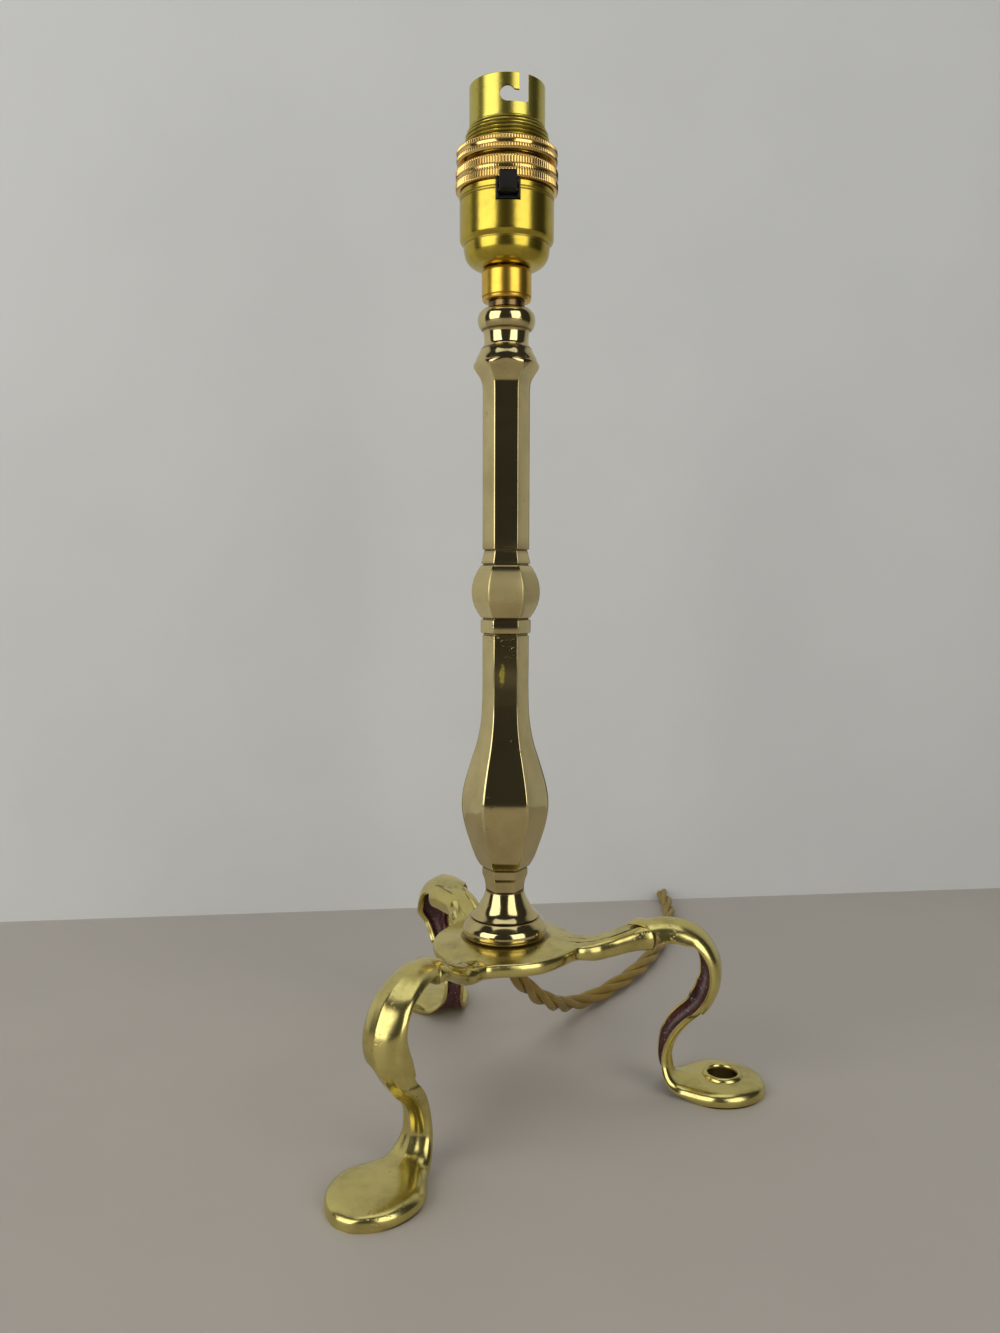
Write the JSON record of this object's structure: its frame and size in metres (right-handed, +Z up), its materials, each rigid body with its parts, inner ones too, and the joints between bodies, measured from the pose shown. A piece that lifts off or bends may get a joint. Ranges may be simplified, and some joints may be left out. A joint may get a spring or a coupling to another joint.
{
  "type": "table lamp",
  "caption": "Cast brass tripod table lamp with faceted column, bayonet lampholder with rocker switch, and braided flex with plug.",
  "frame": {"origin": "on the table, under the axis of the column", "axes": "+Z up along the column; +Y points away from the front, where the rocker switch is; +X to the right"},
  "size_m": [0.1553, 0.4233, 0.353],
  "materials": {
    "column": "polished cast brass",
    "base_plate": "satin cast brass",
    "leg_right": "polished cast brass",
    "leg_back_left": "polished cast brass",
    "leg_front_left": "polished cast brass",
    "cord_bush": "black moulded bush",
    "coupler": "satin turned brass",
    "entry_nipple": "plated steel",
    "entry_lock_nut": "plated steel",
    "earth_tag": "stamped brass",
    "earth_screw": "plated steel",
    "holder_cap": "fine satin brass",
    "holder_barrel": "bright brass",
    "retaining_ring": "knurled brass",
    "shade_ring": "knurled brass",
    "insulator": "moulded insulator",
    "contact_plunger_left": "turned brass",
    "contact_plunger_right": "turned brass",
    "plunger_spring_left": "spring wire",
    "plunger_spring_right": "spring wire",
    "terminal_block_left": "machined brass",
    "terminal_block_right": "machined brass",
    "terminal_screw_left": "plated steel",
    "terminal_screw_right": "plated steel",
    "switch_frame": "black moulding",
    "switch_rocker": "black moulding",
    "rocker_pivot_pin": "steel pin",
    "switch_contact_strip": "spring brass",
    "flex_in_column": "gold braided flex",
    "flex_free": "gold braided flex, three cores twisted",
    "flex_coil": "gold braided flex, three cores twisted",
    "flex_tail": "gold braided flex, three cores twisted",
    "flex_tie": "black band",
    "live_core": "brown core",
    "neutral_core": "blue core",
    "earth_core": "green and yellow core",
    "plug_cover": "black moulding",
    "plug_base": "black moulding",
    "plug_live_pin": "bright brass",
    "plug_neutral_pin": "bright brass",
    "plug_earth_pin": "bright brass",
    "plug_cover_screw": "plated steel",
    "plug_fuse": "ceramic"
  },
  "bodies": {
    "lamp": {"column": "column", "base_plate": "base_plate", "leg_right": "leg_right", "leg_back_left": "leg_back_left", "leg_front_left": "leg_front_left", "cord_bush": "cord_bush", "coupler": "coupler", "entry_nipple": "entry_nipple", "entry_lock_nut": "entry_lock_nut", "earth_tag": "earth_tag", "earth_screw": "earth_screw", "holder_cap": "holder_cap", "holder_barrel": "holder_barrel", "retaining_ring": "retaining_ring", "insulator": "insulator", "plunger_spring_left": "plunger_spring_left", "plunger_spring_right": "plunger_spring_right", "terminal_block_left": "terminal_block_left", "terminal_block_right": "terminal_block_right", "terminal_screw_left": "terminal_screw_left", "terminal_screw_right": "terminal_screw_right", "switch_frame": "switch_frame", "rocker_pivot_pin": "rocker_pivot_pin", "switch_contact_strip": "switch_contact_strip", "flex_in_column": "flex_in_column", "flex_free": "flex_free", "flex_coil": "flex_coil", "flex_tail": "flex_tail", "flex_tie": "flex_tie", "live_core": "live_core", "neutral_core": "neutral_core", "earth_core": "earth_core", "plug_cover": "plug_cover", "plug_base": "plug_base", "plug_live_pin": "plug_live_pin", "plug_neutral_pin": "plug_neutral_pin", "plug_earth_pin": "plug_earth_pin", "plug_cover_screw": "plug_cover_screw", "plug_fuse": "plug_fuse"},
    "rocker": {"switch_rocker": "switch_rocker"},
    "left_plunger": {"contact_plunger_left": "contact_plunger_left"},
    "right_plunger": {"contact_plunger_right": "contact_plunger_right"},
    "shade_ring": {"shade_ring": "shade_ring"}
  },
  "joints": [
    {"name": "rocker_tilt", "type": "hinge", "parent": "lamp", "child": "rocker", "pos_m": [0.0003, -0.01445, 0.3148], "axis": [-1, 0, 0], "range_deg": [0, 14]},
    {"name": "left_plunger_press", "type": "slide", "parent": "lamp", "child": "left_plunger", "axis": [0, 0, -1], "range_m": [0, 0.0035], "stiffness_N_per_m": 300, "springref_m": -0.002, "deforming": ["plunger_spring_left"]},
    {"name": "right_plunger_press", "type": "slide", "parent": "lamp", "child": "right_plunger", "axis": [0, 0, -1], "range_m": [0, 0.0035], "stiffness_N_per_m": 300, "springref_m": -0.002, "deforming": ["plunger_spring_right"]},
    {"name": "shade_ring_unscrew", "type": "slide", "parent": "lamp", "child": "shade_ring", "axis": [0, 0, 1], "range_m": [0, 0.026]}
  ]
}
